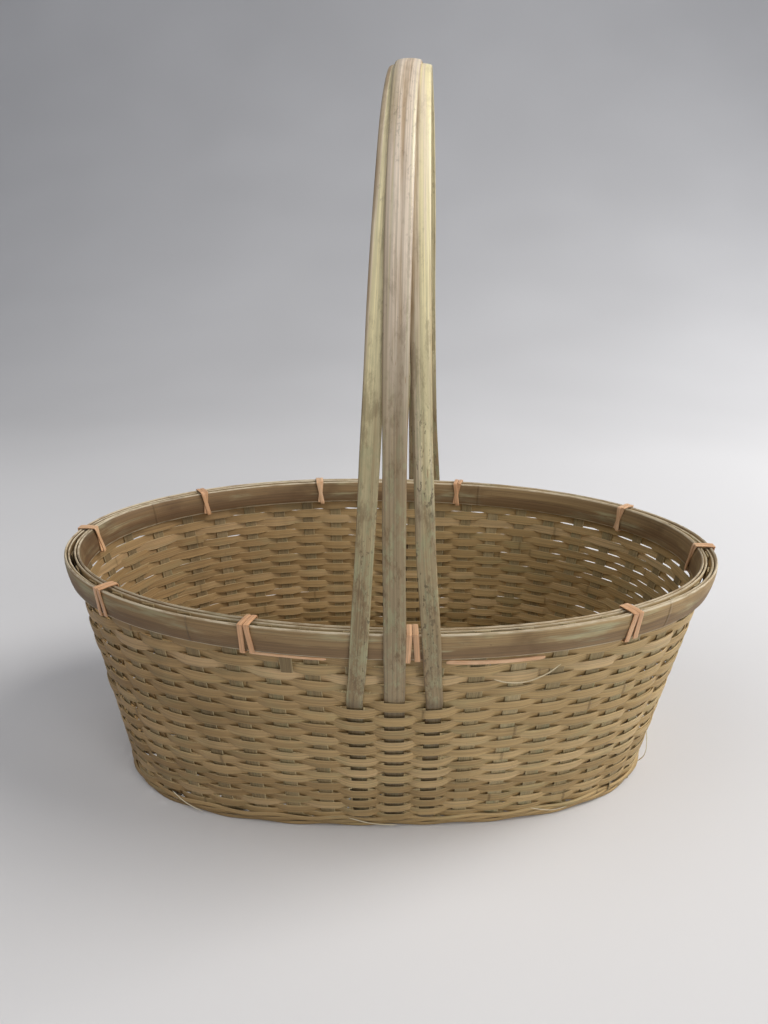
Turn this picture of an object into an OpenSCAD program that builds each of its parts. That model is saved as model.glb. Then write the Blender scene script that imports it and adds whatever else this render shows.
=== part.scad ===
// Oval market basket: split bamboo woven over upright stakes, a bound rim of
// four laths, and a fixed overhead handle of three bent laths whose ends run
// down into the weave. +X is the long way, +Z is up, the front faces -Y.
// The origin is on the resting face, under the middle of the basket.

/* [Basket] */
// Length over the rim
rim_length = 460; // [420:1:500]
// Width over the rim
rim_width = 304; // [280:1:330]
// Height of the top of the rim
rim_top = 156; // [140:1:180]
// Length of the base, along the line of stakes
base_length = 376; // [350:1:400]
// Width of the base, along the line of stakes
base_width = 228; // [200:1:250]
// Squareness of the base outline: 2 is an ellipse
base_power = 2.7; // [2:0.1:3.2]
// The foot's turn under the rim, and how far the stakes slide back along it, as a share of it
base_skew = 5; // [0:1:8]
base_slide = 0.01;
// Squareness of the rim outline: 2 is an ellipse
rim_power = 2.05; // [2:0.05:2.5]

/* [Stakes] */
// Width of an upright stake
stake_width = 9; // [6:0.5:10]
// Thickness of an upright stake
stake_thick = 1; // [0.6:0.1:1.2]
// How much closer the stakes stand by the handle than at the ends
stake_crowding = 0.1; // [0:0.01:0.15]
// How far the middle stakes stand off to the right
stake_shift = 4; // [0:0.5:5]

/* [Weavers] */
// Share of its row's height that a woven strip fills
weaver_cover = 0.9; // [0.7:0.01:0.94]
// Thickness of a woven strip
weaver_thick = 0.8; // [0.5:0.1:1]
// Swing of a woven strip to either side of the stakes
weave_swing = 2.6; // [2.4:0.1:3]
// Swing of a woven strip over a stake and the handle lath on it
handle_swing = 4.6; // [4.5:0.1:5]
// How much taller the top rows are than the bottom rows
row_growth = 0.16; // [0:0.01:0.2]

/* [Rim] */
// Height of the rim hoops
hoop_height = 18; // [14:0.5:22]
// Thickness of the outer hoop
outer_hoop_thick = 2.4; // [1.5:0.1:3]
// Thickness of the lath inside the outer hoop
outer_filler_thick = 1.8; // [1:0.1:2.2]
// Thickness of the lath inside the stake tops
inner_filler_thick = 1.6; // [1:0.1:2.2]
// Thickness of the inner hoop
inner_hoop_thick = 2.2; // [1.5:0.1:3]
// Width of one turn of a rattan tie
tie_width = 3; // [2:0.1:4]
// Thickness of a rattan tie
tie_thick = 0.9; // [0.6:0.1:1.2]

/* [Handle] */
// Height of the top of the handle
handle_top = 458; // [420:1:500]
// Width of the middle lath at the crest
handle_middle_width = 14.5; // [12:0.5:16]
// Width of a side lath at the crest
handle_side_width = 12; // [11:0.5:14]
// Width of a lath where it runs into the weave, against its width at the crest
handle_taper = 0.84; // [0.7:0.01:0.9]
// Thickness of a handle lath over the crest
handle_thick = 2.4; // [2:0.1:3]
// Thickness of a handle lath shaved down for the weave
handle_end_thick = 1.2; // [1:0.1:1.4]
// Squareness of the bow of the handle: 2 is an ellipse
bow_power = 2.25; // [2:0.05:2.6]

/* [Base] */
// Share of the space between base strips that they cover
base_cover = 0.84; // [0.6:0.01:0.9]
// Height of one of the strands twined round the foot
strand_height = 2; // [1.5:0.1:2.5]
// Thickness of one of the strands twined round the foot
strand_thick = 2; // [1.5:0.1:2.5]

/* [Hidden] */
STAKE_COUNT = 44;
ROW_COUNT = 26;
// Stakes whose feet run under the base from front to back, on one long side
CROSS_COUNT = 14;
// Stakes whose feet run under the base from end to end, on one end
LONG_COUNT = 8;
// First stake, counted from the right end, of each side of the basket
FIRST_BACK = LONG_COUNT / 2;
FIRST_LEFT = FIRST_BACK + CROSS_COUNT;
FIRST_FRONT = FIRST_LEFT + LONG_COUNT;
FIRST_RIGHT = FIRST_FRONT + CROSS_COUNT;
// Front stakes that carry the left, middle and right handle laths
LATH_STAKES = [32, 33, 34];
// Last row that passes outside a handle lath; the rows above run behind it
TUCK_ROW = 21;
// Each tie: the stake before it, and how far on it stands towards the next stake
TIES = [[2, 0.65], [8, 0.4], [13, 0.5], [17, 0.4], [21, 0.4],
    [25, 0.6], [29, 0.6], [33, 0.41], [38, 0.6], [43, 0.4]];
// Stakes between which the loose ends of two tie strips lie
LEFT_TAIL = [29, 31];
RIGHT_TAIL = [34, 36];
HOOP_SIDES = 88;
BOW_STEPS = 28;
OUTLINE_STEPS = 360;
OUTLINE_SIDES = 88;
STRAND_COUNT = 3;
TAIL_STEPS = 4;

// Clearance between pieces that lie against each other, and round a tie
gap = 0.2;
tie_gap = 0.4;
// Rough length of the rim, all round
rim_girth = PI / 2 * (rim_length + rim_width);
stake_zone = 3;
outer_filler_at = stake_zone / 2;
outer_hoop_at = outer_filler_at + outer_filler_thick + gap;
rim_outside = outer_hoop_at + outer_hoop_thick;
inner_hoop_at = outer_filler_at + inner_filler_thick + gap;
rim_inside = inner_hoop_at + inner_hoop_thick;
hoop_low = rim_top - hoop_height;

// Base layers, from the resting face upwards
base_strip_thick = 1;
long_strips_at = 1.2;
cross_strips_at = long_strips_at + base_strip_thick + gap;
stake_low = cross_strips_at + base_strip_thick + gap;
rows_low = STRAND_COUNT * (strand_height + gap) + gap;
rows_high = hoop_low - tie_gap - tie_thick - gap;

// A handle lath against the stakes, over the top rows, and outside the rim
lath_in_weave = stake_thick / 2 + 1.5 * gap + handle_end_thick / 2;
lath_over_rows = weave_swing + weaver_thick / 2 + gap + handle_end_thick / 2;
lath_at_rim = rim_outside + tie_gap + handle_end_thick / 2;
lath_low = rows_low;
bow_low = rim_top + 24;
bow_lean = 2.5;
// Share of the way to the middle lath that the left and the right lath close in up to the crest
left_gather = 0.8;
right_gather = 0.7;
// How early they do so on the front leg and on the back leg: the smaller, the earlier
front_gather_power = 0.6;
back_gather_power = 0.35;
// Where the side laths dip under the middle lath, as shares of the bow's height
side_dips = [0.02, 0.09];

bamboo = "#b3a074";
hoop_bamboo = "#a08c5c";
handle_bamboo = "#8f8466";
rattan = "#c99468";

// ---- Outline of the wall ----

// A point of an oval outline, in the direction of an angle
function oval_point(half_length, half_width, power, angle) =
    let (x = pow(abs(cos(angle)) / half_length, power),
         y = pow(abs(sin(angle)) / half_width, power))
    pow(x + y, -1 / power) * [cos(angle), sin(angle)];

// Angles against the share of the outline that has been walked from +X
function walk_table(half_length, half_width, power) =
    let (points = [for (i = [0:OUTLINE_STEPS])
             oval_point(half_length, half_width, power, 360 * i / OUTLINE_STEPS)],
         walked = [for (i = 0, run = 0; i <= OUTLINE_STEPS; i = i + 1,
             run = run + (i <= OUTLINE_STEPS ? norm(points[i] - points[i - 1]) : 0)) run])
    [for (i = [0:OUTLINE_STEPS]) [walked[i] / walked[OUTLINE_STEPS], 360 * i / OUTLINE_STEPS]];

base_half = [base_length / 2, base_width / 2];
rim_half = [rim_length / 2 - rim_outside, rim_width / 2 - rim_outside];
base_walk = walk_table(base_half.x, base_half.y, base_power);
rim_walk = walk_table(rim_half.x, rim_half.y, rim_power);

function whole_turn(turn) = (turn + 1) % 1;

function turned(p, angle) =
    [p.x * cos(angle) - p.y * sin(angle), p.x * sin(angle) + p.y * cos(angle)];

// The foot stands a little askew under the rim, but the stakes on the long sides rise straight
function base_point(turn) =
    turned(oval_point(base_half.x, base_half.y, base_power,
        lookup(whole_turn(turn - base_slide), base_walk)), base_skew);

function rim_point(turn) =
    oval_point(rim_half.x, rim_half.y, rim_power, lookup(whole_turn(turn), rim_walk));

// The wall is ruled: straight lines join the base outline to the rim outline
function wall_plan(turn, z) =
    let (share = z / rim_top) base_point(turn) * (1 - share) + rim_point(turn) * share;

function wall_along(turn, z) =
    let (step = 1 / OUTLINE_STEPS, run = wall_plan(turn + step, z) - wall_plan(turn - step, z))
    run / norm(run);

// A point at a height, a distance outside the line of the stakes
function wall_at(turn, z, outside) =
    let (plan = wall_plan(turn, z), along = wall_along(turn, z))
    [plan.x + along.y * outside, plan.y - along.x * outside, z];

// Where a stake stands, as a share of the way round: the front mirrors the back
function stake_turn(stake) =
    let (place = (stake + 0.5) / STAKE_COUNT,
         half = place < 0.5 ? place : 1 - place,
         crowded = half + stake_crowding * sin(720 * half) / (4 * PI),
         shifted = crowded - stake_shift / rim_girth * pow(sin(360 * half), 2))
    place < 0.5 ? shifted : 1 - shifted;

// A place between a stake and the next one
function between_turn(stake, share) =
    let (start = stake_turn(stake),
         finish = stake + 1 < STAKE_COUNT ? stake_turn(stake + 1) : 1 + stake_turn(0))
    whole_turn(start + (finish - start) * share);

// ---- Swept strips: every section has four corners ----

function loft_faces(count, closed) =
    [for (i = [0:closed ? count - 1 : count - 2]) for (c = [0:3])
        let (next = (i + 1) % count, d = (c + 1) % 4)
        [4 * i + c, 4 * i + d, 4 * next + d, 4 * next + c]];

module closed_strip(sections) {
    polyhedron([for (s = sections) each s], loft_faces(len(sections), true));
}

module open_strip(sections) {
    last = 4 * (len(sections) - 1);
    polyhedron(
        [for (s = sections) each s],
        concat(loft_faces(len(sections), false), [[3, 2, 1, 0], [last, last + 1, last + 2, last + 3]])
    );
}

// Section of a band that stands in the wall
function band_section(turn, low, high, inside, outside) =
    [wall_at(turn, low, inside), wall_at(turn, low, outside),
     wall_at(turn, high, outside), wall_at(turn, high, inside)];

module wall_band(low, high, inside, outside) {
    closed_strip([for (i = [0:HOOP_SIDES - 1])
        band_section(i / HOOP_SIDES, low, high, inside, outside)]);
}

// Flat outline of the wall at a height, a distance outside the line of the stakes
module wall_outline(z, outside) {
    polygon([for (i = [0:OUTLINE_SIDES - 1])
        let (p = wall_at(i / OUTLINE_SIDES, z, outside)) [p.x, p.y]]);
}

// Section of a strip that runs upwards: its middle, and the directions across it and outwards
function lath_section(middle, across, out, width, thick) =
    let (a = across * width / 2, o = out * thick / 2)
    [middle - a - o, middle + a - o, middle + a + o, middle - a + o];

// ---- Stakes and base ----

function stake_section(turn, z) =
    let (along = wall_along(turn, z))
    lath_section(wall_at(turn, z, 0), [along.x, along.y, 0], [along.y, -along.x, 0],
        stake_width, stake_thick);

module stakes(first, count) {
    color(bamboo)
        for (stake = [first:first + count - 1])
            open_strip([
                stake_section(stake_turn(stake % STAKE_COUNT), stake_low),
                stake_section(stake_turn(stake % STAKE_COUNT), rim_top - gap)
            ]);
}

function foot_of(stake) = base_point(stake_turn(stake % STAKE_COUNT));

// A strip of the base between two feet, trimmed to the outline of the foot
module base_strip(low, start, finish, width) {
    run = finish - start;
    translate([0, 0, low])
        linear_extrude(base_strip_thick)
            intersection() {
                translate((start + finish) / 2)
                    rotate(atan2(run.y, run.x))
                        square([norm(run) + width, width], center = true);
                wall_outline(0, 0);
            }
}

// Strips under the floor join the feet of stakes that face each other
module base_cross_strips() {
    color(bamboo)
        for (stake = [FIRST_BACK:FIRST_BACK + CROSS_COUNT - 1]) {
            foot = foot_of(stake);
            space = min(abs(foot_of(stake - 1).x - foot.x), abs(foot_of(stake + 1).x - foot.x));
            base_strip(cross_strips_at, foot, foot_of(mirrored(stake)), space * base_cover);
        }
}

module base_long_strips() {
    color(bamboo)
        for (stake = [FIRST_RIGHT:FIRST_RIGHT + LONG_COUNT - 1]) {
            foot = foot_of(stake);
            space = min(abs(foot_of(stake - 1).y - foot.y), abs(foot_of(stake + 1).y - foot.y));
            facing = STAKE_COUNT / 2 - 1 - stake % STAKE_COUNT + STAKE_COUNT;
            base_strip(long_strips_at, foot, foot_of(facing), space * base_cover);
        }
}

module foot_strand(level) {
    low = level * (strand_height + gap);
    inside = stake_thick / 2 + 2 * gap;
    color(bamboo)
        translate([0, 0, low])
            linear_extrude(strand_height)
                difference() {
                    wall_outline(low + strand_height, inside + strand_thick);
                    wall_outline(low + strand_height, inside);
                }
}

// ---- Weavers ----

// The rows grow a little taller towards the rim
function row_edge(row) =
    let (share = row / ROW_COUNT)
    rows_low + (rows_high - rows_low) * (share + row_growth * share * (share - 1));

function mirrored(stake) = STAKE_COUNT - 1 - stake;

function carries_lath(stake) =
    len([for (lath = LATH_STAKES) if (stake == lath || stake == mirrored(lath)) lath]) > 0;

function passes_outside(stake, row) = (stake + row) % 2 == 0;

// Last row outside the lath on a stake: that row has to pass outside the stake
function tuck_row(stake) = passes_outside(stake, TUCK_ROW) ? TUCK_ROW : TUCK_ROW - 1;

function swing(stake, row) =
    !passes_outside(stake, row) ? -weave_swing
    : carries_lath(stake) && row <= tuck_row(stake) ? handle_swing
    : weave_swing;

module weaver(row) {
    height = weaver_cover * (row_edge(row) - row_edge(row - 1));
    low = (row_edge(row - 1) + row_edge(row) - height) / 2;
    color(bamboo)
        closed_strip([for (stake = [0:STAKE_COUNT - 1])
            let (middle = swing(stake, row))
            band_section(stake_turn(stake), low, low + height,
                middle - weaver_thick / 2, middle + weaver_thick / 2)]);
}

// ---- Rim ----

module outer_hoop() {
    color(hoop_bamboo) wall_band(hoop_low, rim_top, outer_hoop_at, rim_outside);
}

module outer_filler_lath() {
    color(hoop_bamboo)
        wall_band(hoop_low, rim_top - gap, outer_filler_at, outer_filler_at + outer_filler_thick);
}

module inner_filler_lath() {
    color(hoop_bamboo)
        wall_band(hoop_low, rim_top - gap, -outer_filler_at - inner_filler_thick, -outer_filler_at);
}

module inner_hoop() {
    color(hoop_bamboo) wall_band(hoop_low, rim_top, -rim_inside, -inner_hoop_at);
}

// Cross-section of the rim, grown on every side, in a plane across the wall
module rim_section(lean, grown) {
    foot = -lean * (hoop_height + grown);
    head = lean * grown;
    polygon([
        [foot - rim_inside - grown, -hoop_height - grown],
        [foot + rim_outside + grown, -hoop_height - grown],
        [head + rim_outside + grown, grown],
        [head - rim_inside - grown, grown]
    ]);
}

// One turn of a tie: a flat loop round the four laths, between two stakes
module tie_turn(turn) {
    plan = wall_plan(turn, rim_top);
    along = wall_along(turn, rim_top);
    out = [along.y, -along.x];
    lean = (plan - wall_plan(turn, hoop_low)) * out / hoop_height;
    translate([plan.x, plan.y, rim_top])
        rotate([90, 0, atan2(out.y, out.x)])
            linear_extrude(tie_width, center = true)
                difference() {
                    rim_section(lean, tie_gap + tie_thick);
                    rim_section(lean, tie_gap);
                }
}

module rim_ties() {
    turns_apart = (tie_width + tie_gap) / rim_girth;
    color(rattan)
        for (tie = TIES)
            for (side = [-0.5, 0.5])
                tie_turn(between_turn(tie[0], tie[1]) + side * turns_apart);
}

// Loose end of a tie strip, laid along the wall under the outer hoop
module binder_tail(stakes) {
    start = between_turn(stakes[0], 0.5);
    finish = between_turn(stakes[1], 0.5);
    inside = weave_swing + weaver_thick / 2 + gap;
    high = hoop_low - tie_gap - tie_thick - gap;
    color(rattan)
        open_strip([for (i = [0:TAIL_STEPS])
            band_section(start + (finish - start) * i / TAIL_STEPS, high - tie_width, high,
                inside, inside + tie_thick)]);
}

// ---- Handle ----

// Heights and offsets of a lath from its end in the weave up to the rim
function leg_stations(stake) =
    let (tuck = tuck_row(stake))
    concat(
        [for (share = [0:0.25:1]) [lath_low + (row_edge(tuck) - lath_low) * share, lath_in_weave]],
        [[row_edge(tuck + 1), lath_over_rows],
         [(row_edge(tuck + 1) + hoop_low) / 2, (lath_over_rows + lath_at_rim) / 2],
         [hoop_low - tie_gap, lath_at_rim],
         [rim_top + tie_gap, lath_at_rim]]);

// How far a lath has closed in on the middle lath at a height, from where it leaves the weave
function gathered(side, z, power) =
    let (share = max(0, z - row_edge(TUCK_ROW)) / (handle_top - row_edge(TUCK_ROW)))
    (side < 0 ? left_gather : right_gather) * pow(share, power);

function is_front(stake) = stake > STAKE_COUNT / 2;

// Side of the handle that a lath stake carries: -1, 0 or 1
function side_of(stake) = (is_front(stake) ? stake : mirrored(stake)) - LATH_STAKES[1];

function leg_turn(stake, z) =
    let (middle = is_front(stake) ? LATH_STAKES[1] : mirrored(LATH_STAKES[1]),
         power = is_front(stake) ? front_gather_power : back_gather_power)
    stake_turn(stake)
        + (stake_turn(middle) - stake_turn(stake)) * gathered(side_of(stake), z, power);

function leg_section(stake, station, width) =
    let (z = station[0],
         turn = leg_turn(stake, z),
         along = wall_along(turn, z),
         front = is_front(stake) ? 1 : -1)
    lath_section(wall_at(turn, z, station[1]), [along.x, along.y, 0] * front,
        [along.y, -along.x, 0], width * handle_taper, handle_end_thick);

// Shape of the bow at an angle from the front: 0 at the front leg, 90 at the crest
function bow_point(half_span, height, angle) =
    let (power = 2 / bow_power)
    [-half_span * sign(cos(angle)) * pow(abs(cos(angle)), power), height * pow(sin(angle), power)];

// The side laths close in under the middle lath towards the crest
function bow_section(stake, side, width, crest_z, angle) =
    let (foot = wall_at(leg_turn(stake, rim_top), rim_top, lath_at_rim),
         own_x = wall_plan(stake_turn(stake), rim_top).x,
         middle_x = wall_plan(stake_turn(LATH_STAKES[1]), rim_top).x,
         half_span = -foot.y + bow_lean,
         height = crest_z - bow_low,
         here = bow_point(half_span, height, angle),
         before = bow_point(half_span, height, angle - 1),
         after = bow_point(half_span, height, angle + 1),
         run = (after - before) / norm(after - before),
         rise = sin(angle),
         lift = side == 0 ? 0 : -(handle_thick + 2 * gap) * smooth(side_dips[0], side_dips[1], rise),
         z = bow_low + here.y + run.x * lift,
         power = front_gather_power
             + (back_gather_power - front_gather_power) * (1 - cos(angle)) / 2,
         x = own_x + (middle_x - own_x) * gathered(side, z, power))
    lath_section([x, here.x - run.y * lift, z],
        [1, 0, 0], [0, -run.y, run.x],
        width * (handle_taper + (1 - handle_taper) * rise),
        handle_end_thick + (handle_thick - handle_end_thick) * rise);

function smooth(low, high, value) =
    let (share = min(1, max(0, (value - low) / (high - low))))
    share * share * (3 - 2 * share);

module handle_lath(side) {
    stake = LATH_STAKES[side + 1];
    width = side == 0 ? handle_middle_width : handle_side_width;
    crest_z = handle_top - handle_thick / 2;
    front = [for (station = leg_stations(stake)) leg_section(stake, station, width)];
    back_stations = leg_stations(mirrored(stake));
    back = [for (i = [len(back_stations) - 1:-1:0])
        leg_section(mirrored(stake), back_stations[i], width)];
    bow = [for (i = [0:BOW_STEPS])
        bow_section(stake, side, width, crest_z, 3 + (180 - 6) * i / BOW_STEPS)];
    color(handle_bamboo) open_strip(concat(front, bow, back));
}

base_long_strips();
base_cross_strips();
stakes(FIRST_FRONT, CROSS_COUNT);  // front_stakes
stakes(FIRST_BACK, CROSS_COUNT);  // back_stakes
stakes(FIRST_LEFT, LONG_COUNT);  // left_stakes
stakes(FIRST_RIGHT, LONG_COUNT);  // right_stakes
foot_strand(0);  // foot_strand_lower
foot_strand(1);  // foot_strand_middle
foot_strand(2);  // foot_strand_upper
weaver(1);  // weaver_01
weaver(2);  // weaver_02
weaver(3);  // weaver_03
weaver(4);  // weaver_04
weaver(5);  // weaver_05
weaver(6);  // weaver_06
weaver(7);  // weaver_07
weaver(8);  // weaver_08
weaver(9);  // weaver_09
weaver(10);  // weaver_10
weaver(11);  // weaver_11
weaver(12);  // weaver_12
weaver(13);  // weaver_13
weaver(14);  // weaver_14
weaver(15);  // weaver_15
weaver(16);  // weaver_16
weaver(17);  // weaver_17
weaver(18);  // weaver_18
weaver(19);  // weaver_19
weaver(20);  // weaver_20
weaver(21);  // weaver_21
weaver(22);  // weaver_22
weaver(23);  // weaver_23
weaver(24);  // weaver_24
weaver(25);  // weaver_25
weaver(26);  // weaver_26
outer_hoop();
outer_filler_lath();
inner_filler_lath();
inner_hoop();
handle_lath(-1);  // handle_left_lath
handle_lath(0);  // handle_middle_lath
handle_lath(1);  // handle_right_lath
rim_ties();
binder_tail(LEFT_TAIL);  // binder_tail_left
binder_tail(RIGHT_TAIL);  // binder_tail_right
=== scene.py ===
"""Looks of the woven market basket. Each strip of the CAD model is rebuilt here as a piece of
split bamboo or rattan, along the same line, and wears procedural materials."""

import math
import random

import bmesh
import bpy
import numpy as np
from mathutils import Matrix, Vector


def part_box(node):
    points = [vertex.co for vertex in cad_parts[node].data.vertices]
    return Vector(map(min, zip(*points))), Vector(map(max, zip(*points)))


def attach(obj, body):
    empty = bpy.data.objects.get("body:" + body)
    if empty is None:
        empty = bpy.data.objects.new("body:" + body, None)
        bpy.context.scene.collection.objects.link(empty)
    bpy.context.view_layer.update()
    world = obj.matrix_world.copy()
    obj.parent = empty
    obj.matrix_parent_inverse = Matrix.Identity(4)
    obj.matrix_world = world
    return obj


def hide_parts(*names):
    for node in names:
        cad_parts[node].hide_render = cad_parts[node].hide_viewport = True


MM = 0.001

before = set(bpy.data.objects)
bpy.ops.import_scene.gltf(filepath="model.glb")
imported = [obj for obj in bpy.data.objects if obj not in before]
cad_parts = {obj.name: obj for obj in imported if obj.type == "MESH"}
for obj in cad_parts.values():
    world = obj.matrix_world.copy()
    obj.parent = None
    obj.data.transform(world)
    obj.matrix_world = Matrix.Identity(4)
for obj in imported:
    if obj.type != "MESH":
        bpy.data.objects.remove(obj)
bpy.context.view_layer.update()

# ---- Counts and layout, as in the CAD model ----

STAKE_COUNT = 44
ROW_COUNT = 26
CROSS_COUNT = 14
LONG_COUNT = 8
FIRST_BACK = LONG_COUNT // 2
FIRST_FRONT = FIRST_BACK + CROSS_COUNT + LONG_COUNT
FIRST_RIGHT = FIRST_FRONT + CROSS_COUNT
LATH_STAKES = (32, 33, 34)
MIDDLE_STAKE = LATH_STAKES[1]
TUCK_ROW = 21
TIES = (
    (2, 0.65), (8, 0.4), (13, 0.5), (17, 0.4), (21, 0.4),
    (25, 0.6), (29, 0.6), (33, 0.41), (38, 0.6), (43, 0.4),
)
BASE_HALF = (188 * MM, 114 * MM)
BASE_POWER = 2.7
# The foot's turn under the rim, and how far the stakes slide back along it, as a share of it
BASE_SKEW = math.radians(5)
BASE_SLIDE = 0.01
RIM_POWER = 2.05
BOW_POWER = 2.25
STAKE_CROWDING = 0.1
STAKE_SHIFT = 4 * MM
# From the line of the stakes out to the face of the outer hoop
RIM_OUTSIDE = 5.9 * MM
BOW_RISE = 24 * MM
BOW_LEAN = 2.5 * MM
LATH_TAPER = 0.84
# Share of the way to the middle lath that the left and the right lath close in up to the crest
LEFT_GATHER = 0.8
RIGHT_GATHER = 0.7
# How early they do so on the front leg and on the back leg: the smaller, the earlier. Both are
# earlier than in the CAD model.
FRONT_GATHER_POWER = 0.52
BACK_GATHER_POWER = 0.15
# Takes the suddenness out of the curve where a lath leaves the weave
GATHER_SOFTNESS = 0.02
BASE_COVER = 0.95

# ---- Sizes read from the frame ----


def low_corner(node):
    return Vector(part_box(node)[0])


def high_corner(node):
    return Vector(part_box(node)[1])


RIM_TOP = high_corner("outer_hoop").z
HOOP_LOW = low_corner("outer_hoop").z
RIM_HALF = (high_corner("outer_hoop").x - RIM_OUTSIDE, high_corner("outer_hoop").y - RIM_OUTSIDE)
RIM_GIRTH = math.pi * (high_corner("outer_hoop").x + high_corner("outer_hoop").y)
BASE_MIDDLE = (low_corner("base_long_strips").z + high_corner("base_cross_strips").z) / 2
CREST_Z = high_corner("handle_middle_lath").z
ROW_LOW = [low_corner(f"weaver_{row:02d}").z for row in range(1, ROW_COUNT + 1)]
ROW_HIGH = [high_corner(f"weaver_{row:02d}").z for row in range(1, ROW_COUNT + 1)]
ROW_MIDDLE = [(low + high) / 2 for low, high in zip(ROW_LOW, ROW_HIGH)]
ROW_PITCH = np.gradient(np.array(ROW_MIDDLE))


# ---- The wall: an oval foot joined to an oval rim by straight lines ----


class Outline:
    """An oval whose points are found by the share of its length walked from +X."""

    STEPS = 1440

    def __init__(self, half, power, skew=0.0, slide=0.0):
        angle = np.linspace(0, 2 * math.pi, self.STEPS + 1)
        x = np.abs(np.cos(angle) / half[0]) ** power
        y = np.abs(np.sin(angle) / half[1]) ** power
        radius = (x + y) ** (-1 / power)
        self.points = np.stack([radius * np.cos(angle), radius * np.sin(angle)], 1)
        self.turn = np.array([[math.cos(skew), math.sin(skew)], [-math.sin(skew), math.cos(skew)]])
        self.slide = slide
        steps = np.linalg.norm(np.diff(self.points, axis=0), axis=1)
        walked = np.concatenate([[0], np.cumsum(steps)])
        self.walked = walked / walked[-1]

    def at(self, turn):
        place = np.mod(turn - self.slide, 1)
        columns = [np.interp(place, self.walked, self.points[:, i]) for i in range(2)]
        return np.stack(columns, -1) @ self.turn


BASE = Outline(BASE_HALF, BASE_POWER, BASE_SKEW, BASE_SLIDE)
RIM = Outline(RIM_HALF, RIM_POWER)


def wall_plan(turn, z):
    share = (np.asarray(z) / RIM_TOP)[..., None]
    return BASE.at(turn) * (1 - share) + RIM.at(turn) * share


def wall_along(turn, z):
    step = 0.002
    run = wall_plan(turn + step, z) - wall_plan(turn - step, z)
    return run / np.linalg.norm(run, axis=-1, keepdims=True)


def wall_at(turn, z, outside):
    """Points at heights z, distances outside the line of the stakes."""
    turn = np.asarray(turn, float)
    z = np.broadcast_to(np.asarray(z, float), turn.shape)
    outside = np.broadcast_to(np.asarray(outside, float), turn.shape)
    along = wall_along(turn, z)
    out = np.stack([along[..., 1], -along[..., 0]], -1)
    plan = wall_plan(turn, z) + out * outside[..., None]
    return np.concatenate([plan, z[..., None]], -1)


def stake_turn(stake):
    """Where a stake stands, as a share of the way round. The front mirrors the back."""
    stake = np.asarray(stake, float)
    place = (stake + 0.5) / STAKE_COUNT
    lap = np.floor(place)
    place = place - lap
    half = np.where(place < 0.5, place, 1 - place)
    moved = half + STAKE_CROWDING * np.sin(4 * math.pi * half) / (4 * math.pi)
    moved = moved - STAKE_SHIFT / RIM_GIRTH * np.sin(2 * math.pi * half) ** 2
    return lap + np.where(place < 0.5, moved, 1 - moved)


def passes_outside(stake, row):
    return (stake + row) % 2 == 0


def mirrored(stake):
    return STAKE_COUNT - 1 - stake


def carries_lath(stake):
    return stake in LATH_STAKES or mirrored(stake) in LATH_STAKES


def tuck_row(stake):
    return TUCK_ROW if passes_outside(stake, TUCK_ROW) else TUCK_ROW - 1


# ---- Mesh building ----

# Cross-sections run round a strip: share of the width, share of the thickness
SPLINT = np.array([
    (-0.5, -0.1), (-0.47, 0.28), (-0.3, 0.44), (0, 0.5), (0.3, 0.44),
    (0.47, 0.28), (0.5, -0.1), (0.47, -0.5), (0, -0.46), (-0.47, -0.5),
])
LATH = np.array([
    (-0.5, -0.2), (-0.485, 0.0), (-0.42, 0.22), (-0.28, 0.38), (-0.1, 0.48), (0.1, 0.49),
    (0.28, 0.4), (0.42, 0.22), (0.485, 0.0), (0.5, -0.2), (0.46, -0.5), (0, -0.42), (-0.46, -0.5),
])
ROUND = np.array([
    (0.5 * math.cos(2 * math.pi * i / 8), 0.5 * math.sin(2 * math.pi * i / 8)) for i in range(8)
])


def unit(vectors):
    return vectors / np.maximum(np.linalg.norm(vectors, axis=-1, keepdims=True), 1e-12)


def wobble(places, size, length, rng):
    """Smooth unevenness along a strip: a few waves of random phase, none shorter than a third of
    length."""
    waves = [(rng.uniform(0.5, 3), rng.uniform(0, 2 * math.pi)) for _ in range(4)]
    total = sum(np.sin(places / length * 2 * math.pi * rate + phase) / rate for rate, phase in waves)
    return size * total / 2


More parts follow.
